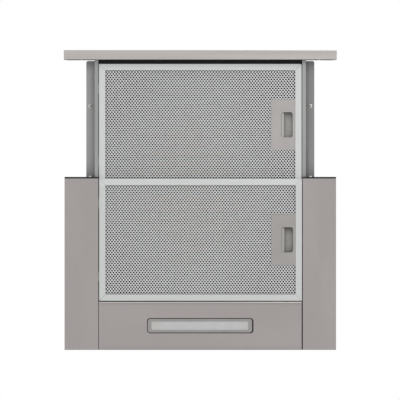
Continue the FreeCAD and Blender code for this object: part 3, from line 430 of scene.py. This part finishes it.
def handle_plastic(node, colour, back_shade):
    """Latch handle: painted shadow darkens the slot's left edge and the floor behind the pull lip,
    most next to the lip and at the front end, with painted shade at the back end and blotchy grime on
    the floor; the lip itself is painted a little lighter.
    """
    graph = Graph(node + "_plastic", 0.0)
    low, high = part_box(node)
    middle_y = (low[1] + high[1]) / 2
    lip_x = low[0] + HANDLE_LIP
    floor_x = low[0] + HANDLE_FLOOR
    texture = graph.noise(1500.0, 3.0, 0.7)
    grime = graph.noise(160.0, 5.0, 0.7)
    across, along_y = graph.axes()
    # painted shadow along the slot's left edge, then a faint painted highlight on the pull lip
    lip = graph.blend(graph.spread(across, 1.0, 0.0, lip_x - 1.6 * MM, lip_x),
                      tinted(colour, 1.04), tinted(colour, 0.86))
    floor = graph.spread(across, 0.0, 1.0, floor_x - 0.2 * MM, floor_x)
    # painted shade on the floor behind the lip, darkest in the shadow beside the lip and lighter to
    # the right
    lip_shadow_fade = graph.spread(across, 0.0, 1.0, floor_x, floor_x + 5.0 * MM)
    floor_shade = graph.blend(lip_shadow_fade, tinted(colour, 0.52), tinted(colour, 0.80))
    right = graph.spread(across, 0.0, 0.8, floor_x + 9.0 * MM, floor_x + 13.0 * MM)
    floor_shade = graph.blend(right, floor_shade, tinted(colour, 0.98))
    floor_shade = graph.blend(graph.spread(grime, 0.0, 0.5), floor_shade, tinted(colour, 0.62))
    # painted shade at the front and back ends of the floor
    front_end_shade = graph.spread(along_y, 1.0, 0.0, middle_y - 18.0 * MM, middle_y - 8.0 * MM)
    floor_shade = graph.blend(front_end_shade, floor_shade, tinted(colour, 0.42))
    back_end_shade = graph.spread(along_y, 0.0, 0.7, middle_y + 8.0 * MM, middle_y + 19.0 * MM)
    floor_shade = graph.blend(back_end_shade, floor_shade, tinted(colour, back_shade))
    graph.colour(graph.blend(floor, lip, floor_shade))
    graph.rough(graph.math("ADD", graph.spread(texture, 0.42, 0.56),
                           graph.spread(grime, -0.04, 0.08)))
    graph.bump(texture, 0.03 * MM, 0.35)
    return graph.material


def rail_screw_steel(name):
    """Zinc screws of the rails, with painted shadow round the head and painted shade in the cross
    recess.
    """
    colour = (0.60, 0.59, 0.56)
    graph = Graph(name, 0.85)
    mottle = graph.noise(420.0, 4.0)
    across, along_y = graph.axes()
    screw_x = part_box("visor_screws")[1][0] - RAIL_SCREW_R
    across = graph.math("SUBTRACT", graph.math("ABSOLUTE", across, 0.0), screw_x)
    nearest = None
    for screw_y in RAIL_SCREW_Y:
        ahead = graph.math("SUBTRACT", along_y, screw_y)
        squares = graph.math("ADD", graph.math("MULTIPLY", across, across),
                             graph.math("MULTIPLY", ahead, ahead))
        nearest = squares if nearest is None else graph.math("MINIMUM", nearest, squares)
    reach = graph.math("SQRT", nearest, 0.0)
    shade = graph.blend(graph.spread(mottle, 0.0, 1.0), tinted(colour, 0.88), tinted(colour, 1.08))
    # painted shadow round the rim of each head, and painted shade in the middle of the recess
    rim_shadow = graph.spread(reach, 0.0, 0.8, RAIL_SCREW_R - 0.5 * MM, RAIL_SCREW_R - 0.1 * MM)
    recess = graph.spread(reach, 0.95, 0.0, 1.0 * MM, 1.6 * MM)
    screw_shade = graph.math("MAXIMUM", rim_shadow, recess)
    graph.colour(graph.blend(screw_shade, shade, (0.05, 0.05, 0.05)))
    graph.rough(graph.spread(mottle, 0.24, 0.38))
    graph.bump(mottle, 0.02 * MM, 0.25)
    return graph.material


RAIL_SHEET = rail_sheet()
# painted shade: the rear latch plate is the front plate's plastic coloured darker
REAR_LATCH_SHADED = moulded_plastic("rear_latch_shaded_plastic", (0.33, 0.315, 0.30), 0.5)
NODE_MATERIALS = {
    "left_visor_rail": RAIL_SHEET,
    "right_visor_rail": RAIL_SHEET,
    "rear_latch_plate": REAR_LATCH_SHADED,
    "front_latch_handle": handle_plastic("front_latch_handle", (0.39, 0.380, 0.355), 0.66),
    # painted shade: the rear handle is the front handle's plastic coloured darker
    "rear_latch_handle": handle_plastic("rear_latch_handle", (0.345, 0.335, 0.310), 0.45),
    "front_filter_frame": satin_aluminium("front_frame_aluminium", FILTER_ALUMINIUM, "Y",
                                          painted_shade_front=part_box("front_filter_frame")[0][1] + 10.0 * MM),
    "rear_filter_frame": satin_aluminium("rear_frame_aluminium", FILTER_ALUMINIUM, "Y",
                                         painted_shade_back=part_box("rear_filter_frame")[0][1] + 10.4 * MM),
    "lamp_panel": brushed_sheet("lamp_panel_sheet", STAINLESS, "Y",
                                fold_y=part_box("lamp_panel")[0][1]),
    # near-black member behind the fascia; it is coloured darker still as painted shade for the dark
    # gap there
    "visor_front_member": moulded_plastic("member_plastic", SOOT_BLACK, 0.6, sheen=0.15),
    "visor_screws": rail_screw_steel("rail_screw_steel"),
}


# ---------------------------------------------------------------- carried CAD nodes
# Width of the rounded edges of each slot, in millimetres.
SOFT_EDGE = {"stainless": 0.25, "fascia_steel": 0.3, "latch_plastic": 0.3, "black_plastic": 0.3,
             "lamp_plastic": 0.25, "filter_aluminium": 0.12, "white_plastic": 0.3,
             "button_plastic": 0.2, "galvanised": 0.15}


WELD_DISTANCE = 0.002 * MM
BEVEL_SEGMENTS = 2
SHARP_ANGLE = math.radians(40.0)


def dress_cad_node(node, slot):
    """Gives a CAD node its material and slightly rounded edges."""
    piece = nodes_of[node]
    piece.data.materials.clear()
    piece.data.materials.append(NODE_MATERIALS.get(node, MATERIALS[slot]))
    width = SOFT_EDGE.get(slot)
    if width is None:
        return
    weld = piece.modifiers.new("weld", "WELD")
    weld.merge_threshold = WELD_DISTANCE
    bevel = piece.modifiers.new("soft edges", "BEVEL")
    bevel.width = width * MM
    bevel.segments = BEVEL_SEGMENTS
    bevel.limit_method = "ANGLE"
    bevel.angle_limit = SHARP_ANGLE


def dress_cad_nodes():
    for subpart in frame["record"]["subparts"]:
        node = subpart["node"]
        slot = subpart["material_slot"]
        if slot in MATERIALS:
            dress_cad_node(node, slot)


def new_piece(name, mesh, material):
    """Puts a finished mesh into the scene with its material."""
    mesh.materials.append(material)
    piece = bpy.data.objects.new(name, mesh)
    bpy.context.scene.collection.objects.link(piece)
    return piece


# ---------------------------------------------------------------- filter mesh
CELL_X = 4.77 * MM           # one opening to the next across the hood
CELL_Y = 5.98 * MM           # and from front to back, with another opening between them
SKIN_DEPTH = 0.8 * MM
HOLE_SHARE = 0.73            # size of an opening against its cell


def cell_outline():
    """Six corners of the cell that belongs to one opening."""
    diagonal = (CELL_X ** 2 + CELL_Y ** 2) / 8
    side = CELL_X / 2
    side_y = (diagonal - side * CELL_X / 2) / (CELL_Y / 2)
    tip_y = diagonal / (CELL_Y / 2)
    return [(side, side_y), (0.0, tip_y), (-side, side_y),
            (-side, -side_y), (0.0, -tip_y), (side, -side_y)]


def cell_centres(low, high):
    """Centres of all cells inside a rectangle, in two staggered sets."""
    middle_x = (low.x + high.x) / 2
    middle_y = (low.y + high.y) / 2
    columns = int((high.x - low.x) / CELL_X / 2) + 1
    rows = int((high.y - low.y) / CELL_Y / 2) + 1
    for stagger in (0.0, 0.5):
        for column in range(-columns, columns + 1):
            for row in range(-rows, rows + 1):
                x = middle_x + (column + stagger) * CELL_X
                y = middle_y + (row + stagger) * CELL_Y
                if low.x < x < high.x and low.y < y < high.y:
                    yield x, y


def expanded_sheet(name, body, material, low, high, hidden_low, hidden_high, face_z, inward):
    """Expanded metal skin: six sided openings with edges rolled towards inward."""
    outline = cell_outline()
    rings = [(1.0, 0.0, 0.0), (HOLE_SHARE + 0.10, 0.02, 0.05), (HOLE_SHARE, 0.35, 0.16),
             (HOLE_SHARE - 0.03, 1.0, 0.10)]
    vertices = []
    faces = []
    shared = {}
    for x, y in cell_centres(low, high):
        if hidden_low.x < x < hidden_high.x and hidden_low.y < y < hidden_high.y:
            continue
        previous = None
        for scale, depth, twist in rings:
            ring = []
            for dx, dy in outline:
                lift = twist * MM * (1.0 if dy > 0 else -1.0)
                point = (x + dx * scale, y + dy * scale,
                         face_z + inward * (depth * SKIN_DEPTH + max(lift, 0.0)))
                key = (round(point[0] * 1e6), round(point[1] * 1e6)) if scale == 1.0 else None
                if key is not None and key in shared:
                    ring.append(shared[key])
                    continue
                if key is not None:
                    shared[key] = len(vertices)
                ring.append(len(vertices))
                vertices.append(point)
            if previous is not None:
                for index in range(len(ring)):
                    after = (index + 1) % len(ring)
                    quad = (previous[index], previous[after], ring[after], ring[index])
                    faces.append(quad if inward < 0 else quad[::-1])
            previous = ring
    mesh = bpy.data.meshes.new(name)
    mesh.from_pydata(vertices, [], faces)
    mesh.update()
    piece = new_piece(name, mesh, material)
    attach(piece, body)


MESH_BORDER_X = 156.1 * MM    # inner edge of a filter frame's side members
FRAME_FACE = 10.4 * MM


def mesh_metal(name, colour, frame_node):
    """Bright rolled aluminium of the expanded sheets, with painted shadow where they meet the frame.
    """
    graph = Graph(name, 0.55)
    fine = graph.noise(1400.0, 3.0)
    haze = graph.noise(26.0, 5.0, 0.6)
    strands = graph.noise(240.0, 2.0)
    shade = graph.blend(graph.spread(fine, 0.0, 1.0), tinted(colour, 0.92), tinted(colour, 1.06))
    shade = graph.blend(graph.spread(strands, 0.0, 0.5), shade, tinted(colour, 0.88))
    shade = graph.blend(graph.spread(haze, 0.0, 0.35), shade, tinted(colour, 0.93))
    low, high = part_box(frame_node)
    across, along_y = graph.axes()
    # painted shadow on the mesh beside the frame's side members
    frame_shadow = graph.spread(graph.math("ABSOLUTE", across, 0.0), 0.0, 1.0,
                          MESH_BORDER_X - 3.0 * MM, MESH_BORDER_X - 1.0 * MM)
    for inner_y, inward in ((low[1] + FRAME_FACE, 1.0), (high[1] - FRAME_FACE, -1.0)):
        # and beside its end members
        edge = graph.spread(along_y, 1.0, 0.0,
                            inner_y + inward * 1.0 * MM, inner_y + inward * 3.0 * MM)
        frame_shadow = graph.math("MAXIMUM", frame_shadow, edge)
    shade = graph.blend(frame_shadow, shade, tinted(colour, 0.66))
    graph.colour(shade)
    graph.rough(graph.math("ADD", graph.spread(fine, 0.28, 0.42), graph.spread(haze, 0.0, 0.12)))
    graph.bump(fine, 0.02 * MM, 0.3)
    return graph.material


def corrugated_core(name, body, material, low, high, plate_low, plate_high):
    """Folded foil between the skins, left out where the latch plate sits."""
    middle_z = (low.z + high.z) / 2
    wave = 6.0 * MM
    height = 0.9 * MM
    step = 1.5 * MM
    half_foil = 0.1 * MM
    rows = int((high.y - low.y) / step)
    edges_x = [low.x, plate_low.x, high.x]
    bm = bmesh.new()
    for side in (-1.0, 1.0):
        grid = []
        for row in range(rows + 1):
            y = low.y + (high.y - low.y) * row / rows
            z = middle_z + height * math.sin(2 * math.pi * (y - low.y) / wave) + side * half_foil
            grid.append([bm.verts.new((x, y, z)) for x in edges_x])
        for row in range(rows):
            y = low.y + (high.y - low.y) * (row + 0.5) / rows
            for column in range(len(edges_x) - 1):
                if column == 1 and plate_low.y < y < plate_high.y:
                    continue
                corners = [grid[row][column], grid[row][column + 1],
                           grid[row + 1][column + 1], grid[row + 1][column]]
                bm.faces.new(corners if side > 0 else corners[::-1])
    mesh = bpy.data.meshes.new(name)
    bm.to_mesh(mesh)
    bm.free()
    piece = new_piece(name, mesh, material)
    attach(piece, body)
    return piece


def filter_pack(which, body):
    """Both skins and the core of one filter, in place of its plain CAD sheets."""
    low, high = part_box(which + "_filter_mesh")
    plate_low, plate_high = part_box(which + "_latch_plate")
    margin = Vector((CELL_X, CELL_Y, 0.0)) * 0.5
    inner_low = Vector(low) + margin
    inner_high = Vector(high) - margin
    hidden_low = Vector(plate_low) + margin
    hidden_high = Vector((high[0], plate_high[1], 0.0)) - Vector((0.0, margin.y, 0.0))
    skin_metal = mesh_metal(which + "_mesh_metal", MESH_COLOUR, which + "_filter_frame")
    # the core's near-black colour is painted shade for the dark inside of the filter
    core_shaded_metal = mesh_metal(which + "_core_shaded_metal", CORE_SHADE_COLOUR, which + "_filter_frame")
    expanded_sheet(which + "_mesh_lower_skin", body, skin_metal, inner_low, inner_high,
                   hidden_low, hidden_high, low[2], 1.0)
    expanded_sheet(which + "_mesh_upper_skin", body, skin_metal, inner_low, inner_high,
                   hidden_low, hidden_high, high[2], -1.0)
    core = corrugated_core(which + "_mesh_core", body, core_shaded_metal, Vector(low), Vector(high),
                           Vector(plate_low), Vector(plate_high))
    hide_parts(which + "_filter_mesh")


# ---------------------------------------------------------------- sheet metal screws
SCREW_R = 3.4 * MM
SCREW_HEAD = 1.5 * MM
# Rings of the head from its rim to the floor of the recess: radius, height, depth of lobes.
SCREW_RINGS = [(1.00, 0.0, 0.0), (1.00, 0.3, 0.0), (0.88, 0.72, 0.0), (0.68, 0.95, 0.0),
               (0.55, 1.0, 0.0), (0.36, 1.0, 0.28), (0.28, 0.35, 0.28)]


def add_screw_head(bm, seat, outward):
    """Pan head with a four lobed recess, standing on seat."""
    turned = outward.to_track_quat("Z", "Y")
    segments = 32
    previous = None
    for radius, height, lobes in SCREW_RINGS:
        ring = []
        for index in range(segments):
            angle = 2 * math.pi * index / segments
            reach = SCREW_R * radius * (1.0 + lobes * math.cos(4 * angle))
            local = Vector((reach * math.cos(angle), reach * math.sin(angle),
                            SCREW_HEAD * height))
            ring.append(bm.verts.new(seat + turned @ local))
        if previous is not None:
            for index in range(segments):
                after = (index + 1) % segments
                bm.faces.new((previous[index], previous[after], ring[after], ring[index]))
        previous = ring
    bm.faces.new(previous)


def spaced(low, high, count):
    return [low + (high - low) * index / (count - 1) for index in range(count)]


def sheet_screws():
    """Screws that hold the lid and the deck, on the upper side of the body."""
    up = Vector((0.0, 0.0, 1.0))
    lid_low, lid_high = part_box("motor_housing_lid")
    deck_low, deck_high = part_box("top_deck")
    wall_low, wall_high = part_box("left_side_wall")
    bm = bmesh.new()
    inset = 7.0 * MM
    for side in (-1, 1):
        for y in spaced(lid_low[1] + 3 * inset, lid_high[1] - 3 * inset, 3):
            add_screw_head(bm, Vector((side * (lid_high[0] - inset), y, lid_high[2])), up)
        for y in spaced(wall_low[1] + 4 * inset, wall_high[1] - 4 * inset, 4):
            add_screw_head(bm, Vector((side * (deck_high[0] - inset), y, DECK_TOP)), up)
    for x in spaced(lid_low[0] + 8 * inset, lid_high[0] - 8 * inset, 3):
        add_screw_head(bm, Vector((x, lid_low[1] + inset, lid_high[2])), up)
    mesh = bpy.data.meshes.new("sheet_screws")
    bm.to_mesh(mesh)
    bm.free()
    piece = new_piece("sheet_screws", mesh, MATERIALS["zinc_screw"])
    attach(piece, "chassis")


# ---------------------------------------------------------------- studio
FLOOR_SIZE = 60.0
FLOOR_HEIGHT = -10.5


def studio_floor(height):
    bpy.ops.mesh.primitive_plane_add(size=FLOOR_SIZE, location=(0.0, 0.0, height))
    floor = bpy.context.object
    floor.name = "studio_floor"
    graph = Graph("studio_floor", 0.0, 0.9)
    soft = graph.noise(0.6, 2.0)
    graph.colour(graph.blend(graph.spread(soft, 0.0, 1.0), (0.84, 0.84, 0.84), (0.88, 0.88, 0.88)))
    floor.data.materials.append(graph.material)


def soft_light(name, place, size, power):
    """A square area light that faces the origin."""
    data = bpy.data.lights.new(name, "AREA")
    data.shape = "SQUARE"
    data.size = size
    data.energy = power
    light = bpy.data.objects.new(name, data)
    light.location = place
    light.rotation_euler = (-Vector(place)).to_track_quat("-Z", "Y").to_euler()
    bpy.context.scene.collection.objects.link(light)


def studio():
    world = bpy.data.worlds.new("studio")
    world.use_nodes = True
    background = world.node_tree.nodes["Background"]
    background.inputs["Color"].default_value = (1.0, 1.0, 1.0, 1.0)
    background.inputs["Strength"].default_value = 1.0
    scene = bpy.context.scene
    scene.world = world
    scene.view_settings.view_transform = "Standard"
    scene.view_settings.look = "None"
    studio_floor(FLOOR_HEIGHT)
    soft_light("key", (1.2, -1.6, -1.8), 1.2, 18.0)
    soft_light("fill", (-2.0, 0.8, 2.0), 2.0, 12.0)


def camera_from_below():
    """Looks straight up at the underside, with the fascia at the top of the picture."""
    lens = 500.0
    sensor = 36.0
    view_width = 0.6569
    data = bpy.data.cameras.new("camera")
    data.lens = lens
    data.sensor_width = sensor
    data.clip_end = 300.0
    camera = bpy.data.objects.new("camera", data)
    camera.location = (-0.5 * MM, 0.0, -view_width * lens / sensor)
    camera.rotation_euler = (math.pi, 0.0, 0.0)
    bpy.context.scene.collection.objects.link(camera)
    bpy.context.scene.camera = camera


dress_cad_nodes()
filter_pack("front", "visor")
filter_pack("rear", "rear_filter")
sheet_screws()
studio()
camera_from_below()
